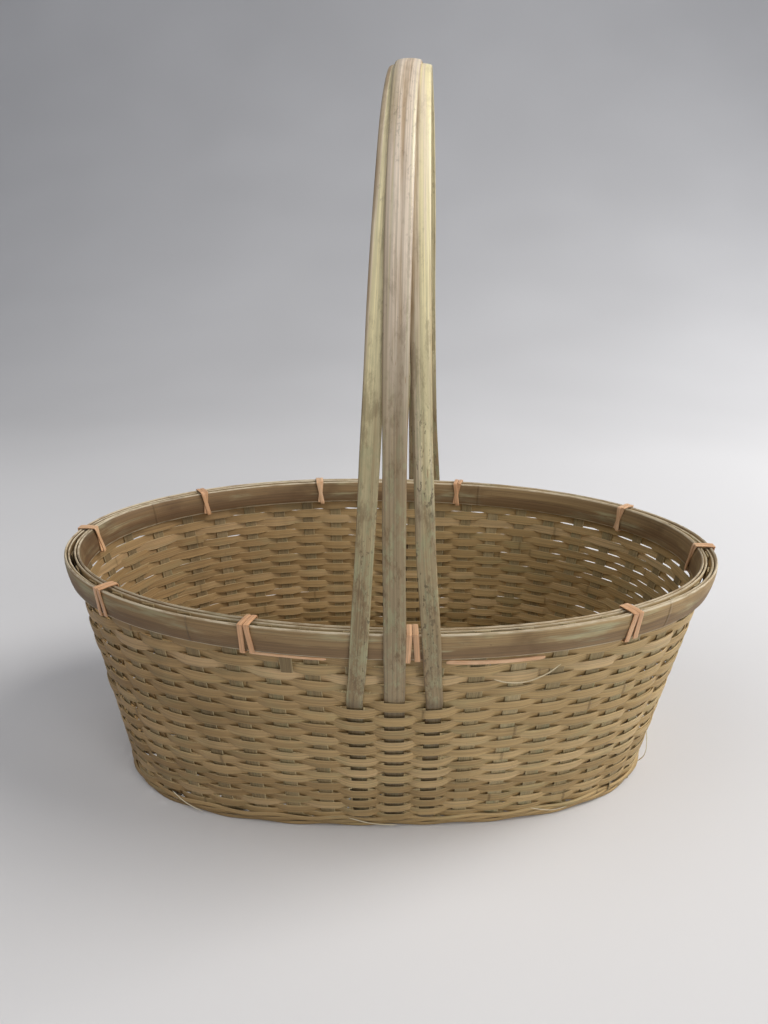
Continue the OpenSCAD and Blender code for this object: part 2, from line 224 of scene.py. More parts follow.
class Strips:
    """Collects swept strips, then makes them one mesh object."""

    def __init__(self, name):
        self.name = name
        self.verts = []
        self.faces = []
        self.grain = []
        self.looks = []
        self.count = 0

    def add(self, centres, across, out, width, thick, tone, seed, profile=SPLINT, closed=False):
        """Sweeps a profile along centres. across and out are unit vectors at each centre."""
        n = len(centres)
        m = len(profile)
        width = np.broadcast_to(np.asarray(width, float), (n,))
        thick = np.broadcast_to(np.asarray(thick, float), (n,))
        side = width[:, None] * profile[None, :, 0]
        rise = thick[:, None] * profile[None, :, 1]
        verts = centres[:, None] + across[:, None] * side[..., None] + out[:, None] * rise[..., None]
        steps = np.linalg.norm(np.diff(centres, axis=0), axis=1)
        walked = np.concatenate([[0], np.cumsum(steps)])
        grain = np.stack([np.repeat(walked[:, None], m, 1), side, np.full((n, m), seed)], -1)
        edge = np.abs(profile[:, 0]) * 2
        raised = profile[:, 1] + 0.5
        looks = np.stack([
            np.full((n, m), tone), np.tile(edge, (n, 1)), np.tile(raised, (n, 1)),
        ], -1)
        first = self.count
        for i in range(n if closed else n - 1):
            here = first + i * m
            there = first + ((i + 1) % n) * m
            for c in range(m):
                d = (c + 1) % m
                self.faces.append((here + c, here + d, there + d, there + c))
        if not closed:
            self.faces.append(tuple(first + c for c in reversed(range(m))))
            self.faces.append(tuple(first + (n - 1) * m + c for c in range(m)))
        self.verts.append(verts.reshape(-1, 3))
        self.grain.append(grain.reshape(-1, 3))
        self.looks.append(looks.reshape(-1, 3))
        self.count += n * m

    def build(self, material, nodes):
        """Makes the object, which rides on the basket and stands for the CAD nodes."""
        mesh = bpy.data.meshes.new(self.name)
        mesh.from_pydata(np.concatenate(self.verts).tolist(), [], self.faces)
        for name, values in (("grain", self.grain), ("looks", self.looks)):
            layer = mesh.attributes.new(name, "FLOAT_VECTOR", "POINT")
            layer.data.foreach_set("vector", np.concatenate(values).ravel())
        work = bmesh.new()
        work.from_mesh(mesh)
        bmesh.ops.recalc_face_normals(work, faces=work.faces)
        work.to_mesh(mesh)
        work.free()
        mesh.materials.append(material)
        mesh.set_sharp_from_angle(angle=math.radians(50))
        for polygon in mesh.polygons:
            polygon.use_smooth = True
        piece = bpy.data.objects.new(self.name, mesh)
        bpy.context.scene.collection.objects.link(piece)
        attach(piece, "root")
        if nodes:
            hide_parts(*nodes)
        return piece


def smooth_step(low, high, value):
    share = np.clip((value - low) / (high - low), 0, 1)
    return share * share * (3 - 2 * share)


def curve_through(points, spacing):
    """A Catmull-Rom curve through points, evenly spaced."""
    points = np.asarray(points, float)
    padded = np.concatenate([[2 * points[0] - points[1]], points, [2 * points[-1] - points[-2]]])
    pieces = []
    t = np.linspace(0, 1, 24, endpoint=False)[:, None]
    for i in range(len(points) - 1):
        a, b, c, d = padded[i:i + 4]
        pieces.append(0.5 * (2 * b + (c - a) * t + (2 * a - 5 * b + 4 * c - d) * t ** 2
                             + (3 * b - a - 3 * c + d) * t ** 3))
    dense = np.concatenate(pieces + [points[-1:]])
    steps = np.linalg.norm(np.diff(dense, axis=0), axis=1)
    walked = np.concatenate([[0], np.cumsum(steps)])
    count = max(2, int(round(walked[-1] / spacing)))
    places = np.linspace(0, walked[-1], count + 1)
    return np.stack([np.interp(places, walked, dense[:, i]) for i in range(dense.shape[1])], 1)


def wall_frames(centres, turn, z):
    """Directions across (up the wall) and outwards for a strip that runs round the wall."""
    step = 2 * MM
    up = unit(wall_at(turn, z + step, 0) - wall_at(turn, z - step, 0))
    along = unit(np.gradient(centres, axis=0))
    out = unit(np.cross(along, up))
    return up, out


# ---- Materials ----


def linear(code):
    """Linear colour from a hex code."""
    channels = [int(code[i:i + 2], 16) / 255 for i in (1, 3, 5)]
    return [c / 12.92 if c <= 0.04045 else ((c + 0.055) / 1.055) ** 2.4 for c in channels] + [1.0]


class Graph:
    """Short forms for building a node tree."""

    def __init__(self, name):
        self.material = bpy.data.materials.new(name)
        self.material.use_nodes = True
        self.tree = self.material.node_tree
        self.shader = self.tree.nodes["Principled BSDF"]

    def put(self, socket, value):
        if isinstance(value, bpy.types.NodeSocket):
            self.tree.links.new(value, socket)
        elif value is not None:
            socket.default_value = value

    def surface(self, colour, roughness, specular=None, normal=None):
        self.put(self.shader.inputs["Base Color"], colour)
        self.put(self.shader.inputs["Roughness"], roughness)
        self.put(self.shader.inputs["Specular IOR Level"], specular)
        self.put(self.shader.inputs["Normal"], normal)

    def math(self, operation, a, b=None, clamp=False):
        node = self.tree.nodes.new("ShaderNodeMath")
        node.operation = operation
        node.use_clamp = clamp
        for socket, value in zip(node.inputs, (a, b)):
            self.put(socket, value)
        return node.outputs[0]

    def times(self, a, b):
        return self.math("MULTIPLY", a, b)

    def plus(self, a, b, clamp=False):
        return self.math("ADD", a, b, clamp)

    def swing(self, noise, size):
        """Noise turned into an offset, half of it either way."""
        return self.times(self.math("SUBTRACT", noise, 0.5), size)

    def attribute(self, name):
        node = self.tree.nodes.new("ShaderNodeAttribute")
        node.attribute_name = name
        return self.split(node.outputs["Vector"])

    def position(self):
        node = self.tree.nodes.new("ShaderNodeTexCoord")
        return self.split(node.outputs["Object"])

    def split(self, vector):
        """A vector, and its three parts."""
        node = self.tree.nodes.new("ShaderNodeSeparateXYZ")
        self.tree.links.new(vector, node.inputs[0])
        return vector, node.outputs

    def stretch(self, vector, scale):
        node = self.tree.nodes.new("ShaderNodeVectorMath")
        node.operation = "MULTIPLY"
        self.put(node.inputs[0], vector)
        node.inputs[1].default_value = scale
        return node.outputs[0]

    def noise(self, vector, scale, detail=3.0, roughness=0.55):
        """Noise at one scale, or at a scale for each direction."""
        if isinstance(scale, tuple):
            vector = self.stretch(vector, scale)
            scale = 1.0
        node = self.tree.nodes.new("ShaderNodeTexNoise")
        self.put(node.inputs["Vector"], vector)
        node.inputs["Scale"].default_value = scale
        node.inputs["Detail"].default_value = detail
        node.inputs["Roughness"].default_value = roughness
        return node.outputs["Fac"]

    def window(self, value, low, high, to_low=0.0, to_high=1.0):
        """Value mapped from one range to another, clamped, with soft ends."""
        node = self.tree.nodes.new("ShaderNodeMapRange")
        node.interpolation_type = "SMOOTHSTEP"
        self.put(node.inputs["Value"], value)
        ends = (("From Min", low), ("From Max", high), ("To Min", to_low), ("To Max", to_high))
        for name, number in ends:
            node.inputs[name].default_value = number
        return node.outputs["Result"]

    def mix(self, share, a, b, blend="MIX"):
        node = self.tree.nodes.new("ShaderNodeMix")
        node.data_type = "RGBA"
        node.blend_type = blend
        self.put(node.inputs["Factor"], share)
        self.put(node.inputs["A"], a)
        self.put(node.inputs["B"], b)
        return node.outputs["Result"]

    def paint(self, colour, share, code):
        """Colour with a share of another laid over it."""
        return self.mix(share, colour, linear(code))

    def lit(self, colour, light):
        return self.mix(1.0, colour, light, "MULTIPLY")

    def ramp(self, value, stops):
        node = self.tree.nodes.new("ShaderNodeValToRGB")
        self.put(node.inputs[0], value)
        elements = node.color_ramp.elements
        while len(elements) < len(stops):
            elements.new(0.5)
        for element, (place, code) in zip(elements, stops):
            element.position = place
            element.color = linear(code)
        return node.outputs[0]

    def bump(self, height, strength, distance, normal=None):
        node = self.tree.nodes.new("ShaderNodeBump")
        node.inputs["Strength"].default_value = strength
        node.inputs["Distance"].default_value = distance
        self.put(node.inputs["Height"], height)
        self.put(node.inputs["Normal"], normal)
        return node.outputs[0]


# How fast the marks on a strip change: along it, across it, and from strip to strip
FIBRE_SCALE = (9.0, 1500.0, 40.0)
STREAK_SCALE = (4.0, 320.0, 30.0)
PATCH_SCALE = (22.0, 90.0, 25.0)
HOOP_PATCH_SCALE = (16.0, 110.0, 25.0)
FRAY_SCALE = (70.0, 700.0, 19.0)
LATH_FIBRE_SCALE = (9.0, 1100.0, 40.0)
LATH_BAND_SCALE = (3.0, 170.0, 17.0)
LATH_BLOTCH_SCALE = (38.0, 120.0, 23.0)
LATH_MOTTLE_SCALE = (70.0, 190.0, 37.0)
LATH_STREAK_SCALE = (11.0, 520.0, 51.0)
LATH_DRIFT_SCALE = (13.0, 40.0, 11.0)
LATH_SPECK_SCALE = (260.0, 520.0, 31.0)
LATH_SCAR_SCALE = (55.0, 330.0, 57.0)
RATTAN_LINE_SCALE = (14.0, 1900.0, 33.0)
# And on the basket as a whole, the same in all directions
CLOUD_SCALE = 16.0
DOT_SCALE = 420.0
RATTAN_BLOTCH_SCALE = 60.0

# Painted shade: the left end of the basket is coloured darker, fading out from here up to there
# along X
PAINTED_SHADE_FROM = -220 * MM
PAINTED_SHADE_TO = 110 * MM
PAINTED_SHADE_TINT = "#dcd3cd"
UNSHADED_TINT = "#ffffff"

# A bamboo node: a dark line with a dim band either side of it
NODE_LINE = 1.6 * MM
NODE_BAND = 7 * MM
NODE_COLOUR = "#4a3a22"
# Shifts the nodes of one strip against another's
NODE_SHUFFLE = 7.31


def node_marks(g, along, seed, spacing):
    """The line and the band of the nodes that stand a spacing apart along a strip."""
    place = g.plus(g.math("DIVIDE", along, spacing), g.times(seed, NODE_SHUFFLE))
    away = g.math("ABSOLUTE", g.math("SUBTRACT", g.math("FRACT", place), 0.5))
    line = g.window(away, 0.0, NODE_LINE / spacing, 1.0, 0.0)
    band = g.window(away, 0.0, NODE_BAND / spacing, 0.45, 0.0)
    return line, band


def bamboo(name, tints, stain, green, stain_amount, green_amount, node_spacing, node_depth=0.35,
           patch_scale=PATCH_SCALE, lower_shade=None, cut_edge="#c9b88e", cut_amount=0.5):
    """Split bamboo: fibres along the strip, blotches, nodes, pale cut edges, and painted shade
    towards the left end.

    tints: ramp stops of the strip's own shade; lower_shade: colour that the lower half leans to.
    """
    g = Graph(name)
    grain, (along, across, seed) = g.attribute("grain")
    _, (tone, edge, raised) = g.attribute("looks")
    place, (from_middle, _, _) = g.position()
    fibres = g.noise(grain, FIBRE_SCALE, 4.0, 0.6)
    streaks = g.noise(grain, STREAK_SCALE, 3.0)
    patches = g.noise(grain, patch_scale, 4.0, 0.6)
    clouds = g.noise(place, CLOUD_SCALE, 4.0, 0.6)
    dots = g.noise(place, DOT_SCALE, 2.0)
    frays = g.noise(grain, FRAY_SCALE, 5.0, 0.7)
    node_line, node_band = node_marks(g, along, seed, node_spacing)

    colour = g.ramp(g.plus(tone, g.swing(streaks, 0.9), clamp=True), tints)
    colour = g.paint(colour, g.times(g.window(patches, 0.5, 0.68), green_amount), green)
    colour = g.paint(colour, g.times(g.window(clouds, 0.5, 0.72), stain_amount), stain)
    colour = g.paint(colour, g.times(g.window(dots, 0.66, 0.78), 0.35), stain)
    if lower_shade:
        wandering = g.plus(across, g.swing(patches, 16 * MM))
        colour = g.paint(colour, g.window(wandering, -2 * MM, 1 * MM, 0.65, 0.0), lower_shade)
    # Painted shade: darker towards the left end
    unshaded_share = g.window(from_middle, PAINTED_SHADE_FROM, PAINTED_SHADE_TO)
    colour = g.lit(colour, g.mix(unshaded_share, linear(PAINTED_SHADE_TINT), linear(UNSHADED_TINT)))
    colour = g.lit(colour, g.window(fibres, 0.3, 0.7, 0.72, 1.12))
    cut = g.times(g.window(edge, 0.86, 0.94), g.window(frays, 0.38, 0.56, 0.3, cut_amount))
    colour = g.paint(colour, cut, cut_edge)
    colour = g.paint(colour, g.times(node_band, node_depth), stain)
    colour = g.paint(colour, g.times(node_line, node_depth), NODE_COLOUR)

    roughness = g.window(g.plus(fibres, g.times(clouds, 0.5)), 0.4, 1.0, 0.45, 0.7)
    normal = g.bump(fibres, 0.5, 0.25 * MM)
    normal = g.bump(streaks, 0.35, 0.5 * MM, normal)
    normal = g.bump(g.times(node_line, raised), 0.8, 0.7 * MM, normal)
    g.surface(colour, roughness, 0.4, normal)
    return g.material


def weathered_and_shaded(name, low_colour, cream, yellow, yellow_share, pale_from, pale_to):
    """Bamboo of the handle: dull and stained low down, pale and blotchy higher up, with painted
    shade on the ends in the weave and along the edges.
    """
    g = Graph(name)
    grain, (_, across, _) = g.attribute("grain")
    _, (tone, edge, _) = g.attribute("looks")
    _, (_, _, height) = g.position()
    fibres = g.noise(grain, LATH_FIBRE_SCALE, 4.0, 0.6)
    bands = g.noise(grain, LATH_BAND_SCALE, 3.0)
    blotches = g.noise(grain, LATH_BLOTCH_SCALE, 8.0, 0.75)
    mottles = g.noise(grain, LATH_MOTTLE_SCALE, 6.0, 0.75)
    streaks = g.noise(grain, LATH_STREAK_SCALE, 4.0, 0.6)
    drifts = g.noise(grain, LATH_DRIFT_SCALE, 4.0, 0.6)
    specks = g.noise(grain, LATH_SPECK_SCALE, 3.0, 0.6)
    scars = g.noise(grain, LATH_SCAR_SCALE, 3.0)

    yellow_from = 0.56 - yellow_share * 0.2
    pale = g.paint(linear(cream), g.window(bands, yellow_from, yellow_from + 0.08), yellow)
    brown_band = g.times(g.window(bands, 0.44, 0.36), g.window(drifts, 0.4, 0.6, 0.2, 0.7))
    pale = g.paint(pale, brown_band, "#a8875c")
    # Browner towards one edge: partly the lath's own brown, partly painted shade on the side that
    # turns away from the light
    to_side = g.plus(across, g.times(drifts, 6 * MM))
    pale = g.paint(pale, g.window(to_side, 5 * MM, 9 * MM, 0.0, 0.5), "#8f7450")
    dull = g.paint(linear(low_colour), g.window(bands, 0.5, 0.72), "#a39d76")
    dull = g.paint(dull, g.times(tone, 0.4), "#b5a280")
    wandering = g.plus(height, g.swing(drifts, 160 * MM))
    colour = g.mix(g.window(wandering, pale_from, pale_to), dull, pale)

    # How the marks thin out with height
    streaky = g.window(height, 100 * MM, 400 * MM, 0.4, 0.32)
    blotchy = g.window(height, 100 * MM, 420 * MM, 0.75, 0.18)
    mossy = g.window(height, 200 * MM, 330 * MM, 0.62, 0.06)
    mouldy = g.window(height, 200 * MM, 400 * MM, 1.0, 0.35)
    mould = g.times(g.window(specks, 0.56, 0.66), g.window(drifts, 0.5, 0.6, 0.03, 0.75))
    # Each mark: how much of it shows, and its colour
    marks = (
        (g.times(g.window(streaks, 0.52, 0.66), streaky), "#9b7a50"),
        (g.times(g.window(blotches, 0.5, 0.62), blotchy), "#735a3a"),
        (g.times(g.window(mottles, 0.49, 0.6), mossy), "#a3a27c"),
        (g.times(mould, mouldy), "#5a4b33"),
        # Painted shade: the ends that run down into the weave, behind the weavers, are coloured dark
        (g.window(height, 100 * MM, 112 * MM, 0.65, 0.0), "#54452f"),
        (g.times(g.window(scars, 0.7, 0.76), 0.75), "#9a6436"),
    )
    for share, code in marks:
        colour = g.paint(colour, share, code)
    colour = g.lit(colour, g.window(fibres, 0.3, 0.7, 0.76, 1.12))
    # Darker along both edges: partly the brown of the edges, partly painted shade where the laths
    # touch
    colour = g.paint(colour, g.times(g.window(edge, 0.9, 1.0), 0.45), "#6f5534")

    roughness = g.plus(g.window(bands, 0.4, 0.65, 0.38, 0.2), g.times(blotches, 0.16))
    normal = g.bump(fibres, 0.4, 0.2 * MM)
    normal = g.bump(blotches, 0.25, 0.5 * MM, normal)
    g.surface(colour, roughness, 0.5, normal)
    return g.material


def rattan(name, tints):
    """Peeled rattan: smoother and warmer than bamboo, with fine lines along it."""
    g = Graph(name)
    grain, _ = g.attribute("grain")
    _, (tone, edge, _) = g.attribute("looks")
    place, _ = g.position()
    lines = g.noise(grain, RATTAN_LINE_SCALE, 3.0)
    blotches = g.noise(place, RATTAN_BLOTCH_SCALE, 3.0)
    colour = g.ramp(g.plus(tone, g.swing(blotches, 1.1), clamp=True), tints)
    colour = g.lit(colour, g.window(lines, 0.3, 0.7, 0.75, 1.1))
    colour = g.paint(colour, g.times(g.window(edge, 0.85, 1.0), 0.3), "#a5744c")
    roughness = g.window(blotches, 0.3, 0.7, 0.32, 0.5)
    g.surface(colour, roughness, 0.5, g.bump(lines, 0.4, 0.2 * MM))
    return g.material


weaver_bamboo = bamboo(
    "weaver_bamboo",
    tints=((0.0, "#9b8054"), (0.35, "#b29565"), (0.65, "#c2a573"), (1.0, "#d2b587")),
    stain="#8a7248", green="#a3a278", stain_amount=0.35, green_amount=0.3,
    node_spacing=410 * MM, cut_edge="#c9b68c", cut_amount=0.3,
)
stake_bamboo = bamboo(
    "stake_bamboo",
    tints=((0.0, "#897653"), (0.5, "#9f8c64"), (1.0, "#b6a37b")),
    stain="#6d5c40", green="#94946f", stain_amount=0.5, green_amount=0.45,
    node_spacing=370 * MM,
)
hoop_bamboo = bamboo(
    "hoop_bamboo",
    tints=((0.0, "#7c6242"), (0.5, "#a58a60"), (1.0, "#c2aa7e")),
    stain="#5f4529", green="#b8b48e", stain_amount=0.65, green_amount=0.8,
    node_spacing=290 * MM, node_depth=0.2, patch_scale=HOOP_PATCH_SCALE, lower_shade="#785d40",
    cut_edge="#d6c8ac", cut_amount=0.85,
)
handle_middle_bamboo = weathered_and_shaded(
    "handle_middle_bamboo", low_colour="#93805f", cream="#eddcc6", yellow="#e6dab4",
    yellow_share=0.1, pale_from=190 * MM, pale_to=400 * MM,
)
handle_side_bamboo = weathered_and_shaded(
    "handle_side_bamboo", low_colour="#88744f", cream="#eedec0", yellow="#f0e3b4",
    yellow_share=0.7, pale_from=150 * MM, pale_to=360 * MM,
)
tie_rattan = rattan(
    "tie_rattan", tints=((0.0, "#c29066"), (0.5, "#dcac80"), (1.0, "#f0cca4"))
)
fibre_pale = rattan(
    "fibre_pale", tints=((0.0, "#c9b48c"), (0.5, "#e0d0aa"), (1.0, "#ece0c2"))
)


# ---- Weavers ----

WEAVER_THICK = 0.75 * MM
STAKE_WIDTH = 9 * MM
WEAVER_SWING = 1.25 * MM
LATH_SWING = 2.9 * MM
SAMPLES_PER_STAKE = 11
TOP_ROW_LIFT = 0.7 * MM
# A weaver overlaps its own end over this many stakes, and reaches a little past the last one
OVERLAP = 2
END_REACH = 0.35
# Share of the way between two stakes that a weaver lies flat against each of them
FLAT_SHARE = 0.14
# Height of a weaver as a share of its row: between two stakes, and what a stake adds to it
HEIGHT_BETWEEN = 1.12
HEIGHT_AT_STAKE = 0.2
# How far the rows dip under the handle, and over how many stakes either side
SAG = 4.0 * MM
SAG_REACH = 2.8
# Where on the stakes' count the weave is loose, by how much, and over how many stakes
RIGHT_END, RIGHT_LOOSENESS, RIGHT_REACH = 2.0, 0.17, 3
LEFT_END, LEFT_LOOSENESS, LEFT_REACH = 18.5, 0.04, 5


def swing(stake, row):
    """Signed distance of a weaver from the line of the stakes, as it passes a stake."""
    stake = stake % STAKE_COUNT
    if not passes_outside(stake, row):
        return -WEAVER_SWING
    if carries_lath(stake) and row <= tuck_row(stake):
        return LATH_SWING
    return WEAVER_SWING


def handle_sag(places, row):
    """How far the rows are pressed down by the handle laths."""
    near_front = np.exp(-((places - MIDDLE_STAKE) / SAG_REACH) ** 2)
    near_back = np.exp(-((places - mirrored(MIDDLE_STAKE)) / SAG_REACH) ** 2)
    if row <= TUCK_ROW:
        depth = row / TUCK_ROW
    else:
        depth = (ROW_COUNT + 1 - row) / (ROW_COUNT + 1 - TUCK_ROW)
    return SAG * depth * (near_front + near_back)


def looseness(places, row):
    """How much narrower the strips are where the weave opens up, high on the ends."""
    high_up = float(smooth_step(0.45, 0.8, row / ROW_COUNT))
    from_right = np.abs(np.mod(places + RIGHT_END, STAKE_COUNT) - 2 * RIGHT_END)
    from_left = np.abs(np.mod(places, STAKE_COUNT) - LEFT_END)
    right = RIGHT_LOOSENESS * np.exp(-(from_right / RIGHT_REACH) ** 2)
    left = LEFT_LOOSENESS * np.exp(-(from_left / LEFT_REACH) ** 2)
    return high_up * (right + left)


def make_weaver(row):
    rng = random.Random(100 + row)
    strips = Strips(f"weaver_strip_{row:02d}")
    middle = ROW_MIDDLE[row - 1] + (TOP_ROW_LIFT if row == ROW_COUNT else 0)
    pitch = float(ROW_PITCH[row - 1])
    start = rng.choice([17, 19, 20, 23, 39, 41, 2, 5])
    if passes_outside(start, row):
        start += 1
    count = (STAKE_COUNT + OVERLAP) * SAMPLES_PER_STAKE
    reach = STAKE_COUNT + OVERLAP + 2 * END_REACH
    places = start - END_REACH + np.linspace(0, reach, count + 1)
    whole = np.floor(places).astype(int)
    share = np.clip((places - whole - FLAT_SHARE) / (1 - 2 * FLAT_SHARE), 0, 1)
    ease = (1 - np.cos(math.pi * share)) / 2
    here = np.array([swing(k, row) for k in whole])
    there = np.array([swing(k + 1, row) for k in whole])
    outside = here * (1 - ease) + there * ease
    outside = outside + wobble(places, 0.12 * MM, 5, rng)
    # Where the two ends of the strip overlap, one lies over the other
    early = smooth_step(OVERLAP + 1.0, OVERLAP + 0.4, places - start)
    late = smooth_step(STAKE_COUNT - 1.0, STAKE_COUNT - 0.4, places - start)
    outside = outside + np.where(outside > 0, late, -early) * (WEAVER_THICK + 0.1 * MM)
    at_stake = np.clip(np.abs(outside) / WEAVER_SWING, 0, 1) ** 1.3
    height = pitch * (HEIGHT_BETWEEN + HEIGHT_AT_STAKE * at_stake) * rng.uniform(0.96, 1.05)
    height = height * (1 + wobble(places, 0.065, 3, rng)) * (1 - looseness(places, row))
    z = middle - handle_sag(np.mod(places, STAKE_COUNT), row) + wobble(places, 0.45 * MM, 7, rng)
    # The wall leans out, so a strip outside it hangs a little lower
    z = z - np.clip(outside, 0, None) * 0.2
    turn = stake_turn(places)
    centres = wall_at(turn, z, outside)
    up, out = wall_frames(centres, turn, z)
    strips.add(centres, up, out, height, WEAVER_THICK,
               tone=rng.uniform(0.12, 0.9), seed=rng.random())
    return strips.build(weaver_bamboo, [f"weaver_{row:02d}"])


for row_number in range(1, ROW_COUNT + 1):
    make_weaver(row_number)


# ---- Stakes, which run on under the base ----

SPLINT_THICK = 0.9 * MM
FOOT_BEND = 7 * MM
PLAIT_LIFT = 0.62 * MM
STRIP_STEP = 3 * MM


def facing_end(stake):
    """The stake that faces a stake along X, as mirrored() gives it along Y."""
    return (STAKE_COUNT // 2 - 1 - stake) % STAKE_COUNT


def foot(stake):
    return BASE.at(float(stake_turn(stake)))


def base_strip_width(stake, run):
    """Room for a strip under the base, between its two neighbours."""
    across = np.array([run[1], -run[0]])
    gaps = [abs(float((foot(stake + step) - foot(stake)) @ across)) for step in (-1, 1)]
    return min(gaps) * BASE_COVER


def stake_leg(stake):
    """Points down a stake, from the rim to just above the foot."""
    above_foot = FOOT_BEND + BASE_MIDDLE
    z = np.array([RIM_TOP - 1.5 * MM, HOOP_LOW, RIM_TOP * 0.6, RIM_TOP * 0.3, above_foot])
    return wall_at(np.full(z.shape, float(stake_turn(stake))), z, 0.0)


def leg_side(stake, flat_side):
    """The direction across a stake, on the same side as the strip under the base."""
    tangent = wall_along(np.array([float(stake_turn(stake))]), np.array([RIM_TOP / 2]))[0]
    side = np.array([tangent[0], tangent[1], 0.0])
    return side * math.copysign(1, float(side @ flat_side))


def crossing_place(start, run, other_start, other_run):
    """How far along one line under the base another line crosses it."""
    return float(np.linalg.solve(np.stack([run, -other_run], 1), other_start - start)[0])


def base_line(stake, facing):
    start, finish = foot(stake), foot(facing(stake))
    length = float(np.linalg.norm(finish - start))
    return start, (finish - start) / length, length


def make_splints(name, stakes, facing, other_lines, phase, nodes):
    """One long strip per pair of facing stakes: down one side, under the base and up the other."""
    strips = Strips(name)
    rng = random.Random(40 + phase)
    for number, stake in enumerate(stakes):
        start, run, length = base_line(stake, facing)
        flat_side = np.array([run[1], -run[0], 0.0])
        crossings = sorted(crossing_place(start, run, *line[:2]) for line in other_lines)
        clear = FOOT_BEND * 1.6
        flat = [(0.0, FOOT_BEND)]
        for order, place in enumerate(crossings):
            if clear < place < length - clear:
                flat.append((PLAIT_LIFT * (1 if (order + number + phase) % 2 else -1), place))
        flat.append((0.0, length - FOOT_BEND))
        under = [(*(start + run * place), BASE_MIDDLE + lift) for lift, place in flat]
        path = list(stake_leg(stake)) + under + list(stake_leg(facing(stake))[::-1])
        centres = curve_through(path, STRIP_STEP)
        z = centres[:, 2]
        upright = smooth_step(BASE_MIDDLE + 1 * MM, BASE_MIDDLE + 14 * MM, z)[:, None]
        first = (np.arange(len(centres)) < len(centres) / 2)[:, None]
        sides = np.where(first, leg_side(stake, flat_side), leg_side(facing(stake), flat_side))
        along = unit(np.gradient(centres, axis=0))
        out = unit(np.cross(along, unit(sides * upright + flat_side * (1 - upright))))
        across = unit(np.cross(out, along))
        wide = base_strip_width(stake, run)
        under_base = 1 - smooth_step(BASE_MIDDLE + 1.5 * MM, BASE_MIDDLE + 5.5 * MM, z)
        width = STAKE_WIDTH + (wide - STAKE_WIDTH) * under_base
        width = width * (1 + wobble(np.arange(len(width)) * STRIP_STEP, 0.03, 120 * MM, rng))
        strips.add(centres, across, out, width, SPLINT_THICK,
                   tone=rng.uniform(0.2, 0.9), seed=rng.random())
    return strips.build(stake_bamboo, nodes)


cross_stakes = list(range(FIRST_FRONT, FIRST_FRONT + CROSS_COUNT))
long_stakes = [stake % STAKE_COUNT for stake in range(FIRST_RIGHT, FIRST_RIGHT + LONG_COUNT)]
cross_lines = [base_line(stake, mirrored) for stake in cross_stakes]
long_lines = [base_line(stake, facing_end) for stake in long_stakes]
make_splints("cross_splints", cross_stakes, mirrored, long_lines, 0,
             ["base_cross_strips", "front_stakes", "back_stakes"])
make_splints("long_splints", long_stakes, facing_end, cross_lines, 1,
             ["base_long_strips", "left_stakes", "right_stakes"])


# ---- Twined strands round the foot ----

STRAND_SIZE = 2.25 * MM
STRAND_TWIST = 0.7 * MM
STAKES_PER_TWIST = 2


def make_foot_strand(number, node):
    rng = random.Random(60 + number)
    strips = Strips(f"foot_twine_{number + 1}")
    places = np.linspace(0, STAKE_COUNT, STAKE_COUNT * SAMPLES_PER_STAKE, endpoint=False)
    angle = 2 * math.pi * (places / STAKES_PER_TWIST + number / 3)
    z = STRAND_SIZE * (0.62 + number) + STRAND_TWIST * np.sin(angle) * (0.2 + 0.4 * number)
    outside = 1.5 * MM + STRAND_TWIST * np.cos(angle)
    turn = stake_turn(places)
    centres = wall_at(turn, z, outside)
    up, out = wall_frames(centres, turn, z)
    size = STRAND_SIZE * (1.05 + 0.17 * number)
    strips.add(centres, up, out, size, size * 0.75, profile=ROUND,
               tone=rng.uniform(0.15, 0.5), seed=rng.random(), closed=True)
    return strips.build(weaver_bamboo, [node])


for strand, level in enumerate(("lower", "middle", "upper")):
    make_foot_strand(strand, f"foot_strand_{level}")


# ---- Rim ----

HOOP_SAMPLES = 480
# Inner and outer face of each lath, as distances outside the line of the stakes
OUTER_HOOP = (3.5 * MM, RIM_OUTSIDE)
OUTER_LATH = (1.5 * MM, 3.1 * MM)
INNER_LATH = (-3.0 * MM, -1.5 * MM)
INNER_HOOP = (-5.5 * MM, -3.4 * MM)


def make_hoop(name, node, faces, tone, seed, drop=0.0, wave=0.3 * MM, profile=LATH):
    """One lath of the rim. Its rounded face points away from the stakes.

    drop: how far its top stays under the CAD's; wave: how unevenly it runs.
    """
    inside, outside = faces
    rng = random.Random(seed)
    strips = Strips(name)
    places = np.linspace(0, 1, HOOP_SAMPLES, endpoint=False)
    slow = np.sin(4 * math.pi * places + rng.uniform(0, 6))
    quick = np.sin(10 * math.pi * places + rng.uniform(0, 6))
    low = low_corner(node).z
    high = high_corner(node).z - drop
    z = (low + high) / 2 + wave * (0.5 * slow + 0.4 * quick)
    middle = (inside + outside) / 2 + 0.25 * wave * quick
    centres = wall_at(places, z, middle)
    up, out = wall_frames(centres, places, z)
    facing = 1 if middle.mean() > 0 else -1
    height = (high - low) * (1 + 0.015 * slow + 0.01 * quick)
    strips.add(centres, up, out * facing, height, outside - inside, profile=profile,
               tone=tone, seed=rng.random(), closed=True)
    return strips.build(hoop_bamboo, [node])


make_hoop("rim_outer_hoop", "outer_hoop", OUTER_HOOP, 0.45, 11)
make_hoop("rim_outer_lath", "outer_filler_lath", OUTER_LATH, 0.75, 12,
          drop=0.7 * MM, wave=0.9 * MM, profile=SPLINT)
make_hoop("rim_inner_lath", "inner_filler_lath", INNER_LATH, 0.85, 13,
          drop=0.4 * MM, wave=0.8 * MM, profile=SPLINT)
make_hoop("rim_inner_hoop", "inner_hoop", INNER_HOOP, 0.35, 14)


# ---- Ties ----

TIE_WIDTH = 3.5 * MM
TIE_THICK = 0.75 * MM
TIE_CLEAR = 0.15 * MM
TURNS_PER_TIE = 2
# Where a turn meets the lower edge, as a share of half the spread of the turns: outside the rim
# they part, inside they have crossed
PARTED_FOOT = 1.5
CROSSED_FOOT = -0.7


def between_turn(stake, share):
    return float(stake_turn(stake) * (1 - share) + stake_turn(stake + 1) * share)


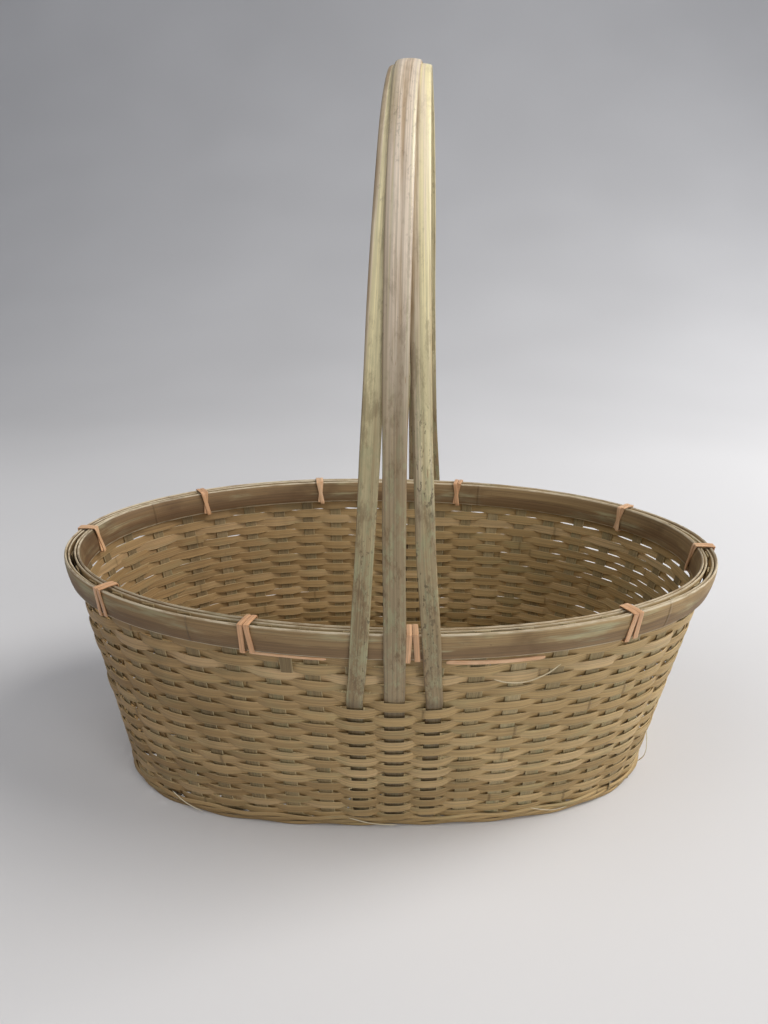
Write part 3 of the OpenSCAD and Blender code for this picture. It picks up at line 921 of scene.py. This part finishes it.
def rim_loop(spread):
    """Corners of a tie as it winds round the rim: (outside, height, along)."""
    clear = TIE_CLEAR + TIE_THICK / 2
    inner = INNER_HOOP[0] - clear
    outer = RIM_OUTSIDE + clear
    top = RIM_TOP + clear
    bottom = HOOP_LOW - clear
    ease = 1.1 * MM
    # Corners of one turn, the last as a share of half the spread
    ring = [
        (inner, bottom + ease, CROSSED_FOOT), (inner, (top + bottom) / 2, 0.0),
        (inner, top - ease, 0.8), (inner + ease, top, 0.88),
        (outer - ease, top, 0.92), (outer, top - ease, 0.95),
        (outer, (top + bottom) / 2, (0.95 + PARTED_FOOT) / 2), (outer, bottom + ease, PARTED_FOOT),
        (outer - ease, bottom, PARTED_FOOT), (inner + ease, bottom, -CROSSED_FOOT),
    ]
    corners = []
    for turn in range(TURNS_PER_TIE):
        half_spread = spread * (2 * turn - TURNS_PER_TIE + 1) / 2
        for outside, z, parted in ring:
            over = TIE_THICK * turn if outside == inner else 0.0
            corners.append((outside - over, z, half_spread * parted))
    return corners[:-2]


def make_ties():
    strips = Strips("rim_tie_set")
    rng = random.Random(71)
    for stake, share in TIES:
        turn = between_turn(stake, share)
        spread = TIE_WIDTH * rng.uniform(1.02, 1.18)
        outside, z, parted = curve_through(rim_loop(spread), 0.7 * MM).T
        lean = rng.uniform(-0.4, 0.4) * MM
        turns = turn + (parted + lean * (z - HOOP_LOW) / (RIM_TOP - HOOP_LOW)) / RIM_GIRTH
        centres = wall_at(turns, z, outside)
        along = unit(np.gradient(centres, axis=0))
        tangent = wall_along(turns, z)
        side = np.concatenate([tangent, np.zeros((len(tangent), 1))], 1)
        out = unit(np.cross(along, side))
        middle = wall_at(turns, np.full(len(turns), (RIM_TOP + HOOP_LOW) / 2), 0.0)
        away = np.sum(out * (centres - middle), axis=1)
        out = out * np.where(away < 0, -1, 1)[:, None]
        across = unit(np.cross(out, along))
        strips.add(centres, across, out, TIE_WIDTH * rng.uniform(0.92, 1.0), TIE_THICK,
                   tone=rng.uniform(0.35, 0.8), seed=rng.random())
    return strips.build(tie_rattan, ["rim_ties"])


make_ties()


# Roughly the distance between two stakes, to space the points of a curve evenly
STAKE_GAP = 20 * MM


def wall_curve(points, spacing):
    """Turns, heights and distances outside, through (stake place, height, outside) points."""
    stretched = [(place * STAKE_GAP, z, outside) for place, z, outside in points]
    place, z, outside = curve_through(stretched, spacing).T
    return stake_turn(place / STAKE_GAP), z, outside


def tapered(count, slope, at_end):
    """Width along a strip, as a share, that narrows towards both ends."""
    ends = np.linspace(0, 1, count)
    return np.minimum(1, np.minimum(ends, 1 - ends) * slope + at_end)


def make_tail(name, node, points, width):
    """A loose tie end that lies along the wall. points: (stake place, height, outside)."""
    strips = Strips(name)
    turn, z, outside = wall_curve(points, 1.2 * MM)
    centres = wall_at(turn, z, outside)
    up, out = wall_frames(centres, turn, z)
    taper = tapered(len(centres), 12, 0.55)
    strips.add(centres, up, out, width * taper, TIE_THICK, tone=0.6, seed=0.37)
    return strips.build(tie_rattan, [node])


TAIL_Z = HOOP_LOW - 2.9 * MM
RIGHT_TAIL = (
    (34.2, TAIL_Z + 0.9 * MM, 3.6 * MM), (34.9, TAIL_Z + 0.1 * MM, 3.9 * MM),
    (35.6, TAIL_Z - 0.2 * MM, 3.9 * MM), (36.1, TAIL_Z + 0.2 * MM, 4.2 * MM),
    (36.5, TAIL_Z + 0.7 * MM, 4.8 * MM),
)
LEFT_TAIL = (
    (29.6, TAIL_Z + 2.0 * MM, 4.4 * MM), (30.2, TAIL_Z + 1.9 * MM, 4.1 * MM),
    (31.0, TAIL_Z + 1.7 * MM, 4.0 * MM), (31.4, TAIL_Z + 1.6 * MM, 3.8 * MM),
)
make_tail("tie_tail_right", "binder_tail_right", RIGHT_TAIL, 2.9 * MM)
make_tail("tie_tail_left", "binder_tail_left", LEFT_TAIL, 1.9 * MM)


# ---- Loose ends ----

# Each fibre: its width, then points as (stake place, height, distance outside)
FIBRES = (
    (0.8 * MM, ((35.4, 120.8 * MM, 2.2 * MM), (35.75, 118.8 * MM, 3.8 * MM),
                (36.2, 118.9 * MM, 4.6 * MM), (36.65, 123.5 * MM, 5.0 * MM),
                (36.95, 129 * MM, 4.6 * MM))),
    (0.8 * MM, ((41.1, 40 * MM, 1.8 * MM), (41.3, 26 * MM, 4.6 * MM), (41.5, 12 * MM, 5.6 * MM),
                (41.6, 3 * MM, 2.4 * MM))),
    (0.7 * MM, ((26.2, 9 * MM, 2.0 * MM), (26.7, 5 * MM, 4.0 * MM), (27.2, 2.5 * MM, 4.6 * MM))),
    (0.7 * MM, ((31.6, 7 * MM, 2.2 * MM), (32.3, 3.4 * MM, 3.8 * MM), (33.1, 2.2 * MM, 4.4 * MM))),
    (0.6 * MM, ((37.2, 8 * MM, 2.0 * MM), (37.8, 4.5 * MM, 3.6 * MM), (38.3, 5.5 * MM, 4.6 * MM))),
)
# The end of a spare splint that shows under the outer hoop
STUB_PLACE = 30.42
STUB_WIDTH = 7.5 * MM
STUB_THICK = 1.0 * MM
STUB_LOW = 125 * MM
STUB_STEPS = 9


def make_fibres():
    strips = Strips("loose_fibres")
    rng = random.Random(91)
    for size, points in FIBRES:
        centres = wall_at(*wall_curve(points, 1.0 * MM))
        along = unit(np.gradient(centres, axis=0))
        # Any direction that no fibre runs along will do
        out = unit(np.cross(along, np.array([0.3, 0.2, 0.93])))
        across = unit(np.cross(out, along))
        taper = tapered(len(centres), 8, 0.3)
        strips.add(centres, across, out, size * taper, size * taper * 0.6, profile=ROUND,
                   tone=rng.uniform(0.4, 0.9), seed=rng.random())
    return strips.build(fibre_pale, [])


def make_stub():
    strips = Strips("loose_stub")
    z = np.linspace(RIM_TOP - 14 * MM, STUB_LOW, STUB_STEPS)
    turn = np.full(z.shape, between_turn(math.floor(STUB_PLACE), STUB_PLACE % 1))
    outside = 2.5 * MM + 0.8 * MM * np.linspace(0, 1, STUB_STEPS) ** 2
    centres = wall_at(turn, z, outside)
    tangent = wall_along(turn, z)
    across = np.concatenate([tangent, np.zeros((len(z), 1))], 1)
    out = unit(np.cross(unit(np.gradient(centres, axis=0)), across))
    strips.add(centres, across, out, STUB_WIDTH, STUB_THICK, tone=0.1, seed=0.6)
    return strips.build(stake_bamboo, [])


make_fibres()
make_stub()


# ---- Handle ----

LATH_END_THICK = 1.2 * MM
LATH_THICK = 2.4 * MM
LATH_IN_WEAVE = 1.25 * MM
LATH_OVER_ROWS = 2.7 * MM
LATH_AT_RIM = RIM_OUTSIDE + 0.8 * MM
# Where the side laths dip under the middle lath, as shares of the bow's height
SIDE_DIPS = (0.02, 0.09)
BOW_STEPS = 48
BOW_SPACING = 2.5 * MM
# The bow starts and ends this far into its half turn, where the legs take over
BOW_START = 3
# Over this height above the rim, a lath turns from facing along the wall to facing square
SQUARING = 90 * MM


def row_low(row):
    return ROW_MIDDLE[row - 1] - ROW_PITCH[row - 1] / 2


def gathered(side, z, power):
    """Share of the way that a lath has closed in on the middle lath at a height."""
    start = row_low(TUCK_ROW + 1)
    share = np.clip((np.asarray(z) - start) / (CREST_Z - start), 0, 1)
    first = GATHER_SOFTNESS ** power
    last = (1 + GATHER_SOFTNESS) ** power
    closed_in = ((share + GATHER_SOFTNESS) ** power - first) / (last - first)
    return (LEFT_GATHER if side < 0 else RIGHT_GATHER) * closed_in


def leg_point(stake, z, outside):
    in_front = stake > STAKE_COUNT / 2
    middle = MIDDLE_STAKE if in_front else mirrored(MIDDLE_STAKE)
    side = (stake if in_front else mirrored(stake)) - MIDDLE_STAKE
    power = FRONT_GATHER_POWER if in_front else BACK_GATHER_POWER
    own = float(stake_turn(stake))
    turn = own + (float(stake_turn(middle)) - own) * float(gathered(side, z, power))
    return wall_at(np.array([turn]), z, outside)[0]


def leg_points(stake):
    """Height and distance outside of a lath, from its end in the weave up to the rim."""
    tuck = tuck_row(stake)
    sag = float(handle_sag(np.array([float(stake)]), tuck)[0])
    return [
        (ROW_LOW[0], LATH_IN_WEAVE),
        (ROW_MIDDLE[tuck // 2], LATH_IN_WEAVE),
        (row_low(tuck) - sag, LATH_IN_WEAVE),
        (row_low(tuck + 2) - sag * 0.8, LATH_OVER_ROWS),
        ((row_low(tuck + 2) + HOOP_LOW) / 2, (LATH_OVER_ROWS + LATH_AT_RIM) / 2),
        (HOOP_LOW, LATH_AT_RIM),
        (RIM_TOP, LATH_AT_RIM),
    ]


def bow_point(half_span, height, angle):
    power = 2 / BOW_POWER
    flat = -half_span * np.sign(np.cos(angle)) * np.abs(np.cos(angle)) ** power
    return np.stack([flat, height * np.sin(angle) ** power], -1)


def make_lath(name, node, side, width, seed):
    rng = random.Random(seed)
    strips = Strips(name)
    stake = LATH_STAKES[side + 1]
    rim_turn = float(stake_turn(stake))
    own_x, middle_x = [float(wall_plan(np.array([float(stake_turn(k))]), RIM_TOP)[0][0])
                       for k in (stake, MIDDLE_STAKE)]
    half_span = -leg_point(stake, RIM_TOP, LATH_AT_RIM)[1] + BOW_LEAN
    height = CREST_Z - LATH_THICK / 2 - (RIM_TOP + BOW_RISE)
    angles = np.radians(np.linspace(BOW_START, 180 - BOW_START, BOW_STEPS + 1))
    here = bow_point(half_span, height, angles)
    behind, ahead = [bow_point(half_span, height, angles + step) for step in (-0.01, 0.01)]
    run = unit(ahead - behind)
    lift = 0.0 if side == 0 else -(LATH_THICK + 0.3 * MM)
    lift = lift * smooth_step(*SIDE_DIPS, np.sin(angles))
    z = RIM_TOP + BOW_RISE + here[:, 1] + run[:, 0] * lift
    power = FRONT_GATHER_POWER + (BACK_GATHER_POWER - FRONT_GATHER_POWER) * (1 - np.cos(angles)) / 2
    x = own_x + (middle_x - own_x) * gathered(side, z, power)
    bow = np.stack([x, here[:, 0] - run[:, 1] * lift, z], 1)
    front = [leg_point(stake, *point) for point in leg_points(stake)]
    back = [leg_point(mirrored(stake), *point) for point in leg_points(mirrored(stake))]
    centres = curve_through(front + list(bow) + back[::-1], BOW_SPACING)
    along = unit(np.gradient(centres, axis=0))
    tangent = wall_along(np.array([rim_turn]), np.array([RIM_TOP]))[0]
    near_side = np.array([tangent[0], tangent[1], 0.0])
    far_side = near_side * np.array([1, -1, 1])
    above = smooth_step(RIM_TOP, RIM_TOP + SQUARING, centres[:, 2])[:, None]
    wall_side = np.where((centres[:, 1] < 0)[:, None], near_side, far_side)
    across = unit(wall_side * (1 - above) + np.array([1.0, 0, 0]) * above)
    out = unit(np.cross(along, across)) * -1
    away = np.sum(out * (centres - np.array([0, 0, RIM_TOP])), axis=1)
    out = out * np.where(away < 0, -1, 1)[:, None]
    across = unit(np.cross(out, along))
    walked = np.arange(len(centres)) * BOW_SPACING
    share = smooth_step(RIM_TOP, CREST_Z, centres[:, 2])
    uneven = 1 + wobble(walked, 0.025, 160 * MM, rng)
    widths = width * (LATH_TAPER + (1 - LATH_TAPER) * share) * uneven
    thicks = LATH_END_THICK + (LATH_THICK - LATH_END_THICK) * share
    strips.add(centres, across, out, widths, thicks, profile=LATH,
               tone=rng.uniform(0.35, 0.65), seed=rng.random())
    material = handle_middle_bamboo if side == 0 else handle_side_bamboo
    return strips.build(material, [node])


MIDDLE_LATH_WIDTH = 14.5 * MM
SIDE_LATH_WIDTH = 12 * MM
make_lath("bow_lath_left", "handle_left_lath", -1, SIDE_LATH_WIDTH, 81)
make_lath("bow_lath_middle", "handle_middle_lath", 0, MIDDLE_LATH_WIDTH, 82)
make_lath("bow_lath_right", "handle_right_lath", 1, SIDE_LATH_WIDTH, 83)


# ---- Floor, light and camera ----


# The floor, in metres: half its width, where it starts, where it starts to curve up, the
# radius of the curve, and the top of the backdrop
FLOOR_HALF_WIDTH = 9.0
FLOOR_START = -4.0
FLOOR_BACK = 1.1
FLOOR_CURVE = 2.6
BACKDROP_TOP = 6.0
WORLD_COLOUR = (0.86, 0.9, 1.0, 1)
WORLD_STRENGTH = 0.29
AIM = (0, 0, 0.15)
# Each light: name, place, what it points at, diameter, watts, colour
LIGHTS = (
    ("key", (1.35, 0.05, 1.9), AIM, 1.3, 27.5, (1.0, 0.97, 0.93)),
    ("fill", (-0.9, -0.5, 1.9), AIM, 1.4, 9.0, (1.0, 0.98, 0.95)),
    ("front", (1.4, -1.6, 0.9), AIM, 1.2, 12.5, (1.0, 0.98, 0.95)),
    ("backdrop", (1.7, 0.6, 1.1), (0.3, 2.1, 0.0), 1.0, 20, (0.97, 0.98, 1.0)),
)
# The photograph's angle: close, a little above, and slightly from the right
CAMERA_PLACE = Vector((0.0391, -0.5215, 0.3517))
CAMERA_PITCH = math.radians(18.7)
CAMERA_YAW = math.radians(-4.4)
CAMERA_ROLL = math.radians(-0.15)
# In millimetres, on film this high
CAMERA_LENS = 27.03516
FILM_HEIGHT = 36


def make_stage():
    """A pale floor that curves up into a backdrop."""
    profile = [(FLOOR_START, 0.0), (FLOOR_BACK, 0.0)]
    for angle in np.radians(np.linspace(3, 90, 30)):
        profile.append((FLOOR_BACK + FLOOR_CURVE * math.sin(angle),
                        FLOOR_CURVE * (1 - math.cos(angle))))
    profile.append((FLOOR_BACK + FLOOR_CURVE, BACKDROP_TOP))
    verts = [(x, y, z) for y, z in profile for x in (-FLOOR_HALF_WIDTH, FLOOR_HALF_WIDTH)]
    faces = [(2 * i, 2 * i + 1, 2 * i + 3, 2 * i + 2) for i in range(len(profile) - 1)]
    mesh = bpy.data.meshes.new("studio_floor")
    mesh.from_pydata(verts, [], faces)
    for polygon in mesh.polygons:
        polygon.use_smooth = True
    g = Graph("studio_paper")
    place, _ = g.position()
    shades = ((0.3, "#d3d2d2"), (0.7, "#dcdbdb"))
    g.surface(g.ramp(g.noise(place, 1.3, 2.0), shades), 0.9)
    mesh.materials.append(g.material)
    floor = bpy.data.objects.new("studio_floor", mesh)
    bpy.context.scene.collection.objects.link(floor)


def area_light(name, place, target, size, power, colour):
    data = bpy.data.lights.new(name, "AREA")
    data.shape = "DISK"
    data.size = size
    data.energy = power
    data.color = colour
    light = bpy.data.objects.new(name, data)
    light.location = place
    light.rotation_euler = (Vector(target) - Vector(place)).to_track_quat("-Z", "Y").to_euler()
    bpy.context.scene.collection.objects.link(light)


def make_light():
    world = bpy.data.worlds.new("studio_air")
    world.use_nodes = True
    background = world.node_tree.nodes["Background"]
    background.inputs["Color"].default_value = WORLD_COLOUR
    background.inputs["Strength"].default_value = WORLD_STRENGTH
    bpy.context.scene.world = world
    for light in LIGHTS:
        area_light(*light)


def make_camera():
    data = bpy.data.cameras.new("camera")
    data.sensor_fit = "VERTICAL"
    data.sensor_height = FILM_HEIGHT
    data.lens = CAMERA_LENS
    data.clip_start = 0.02
    camera = bpy.data.objects.new("camera", data)
    camera.location = CAMERA_PLACE
    level = math.cos(CAMERA_PITCH)
    forward = Vector((
        math.sin(CAMERA_YAW) * level, math.cos(CAMERA_YAW) * level, -math.sin(CAMERA_PITCH)
    ))
    turn = forward.to_track_quat("-Z", "Y").to_matrix().to_4x4()
    camera.rotation_euler = (turn @ Matrix.Rotation(CAMERA_ROLL, 4, "Z")).to_euler()
    bpy.context.scene.collection.objects.link(camera)
    bpy.context.scene.camera = camera


make_stage()
make_light()
make_camera()
bpy.context.scene.view_settings.view_transform = "Standard"
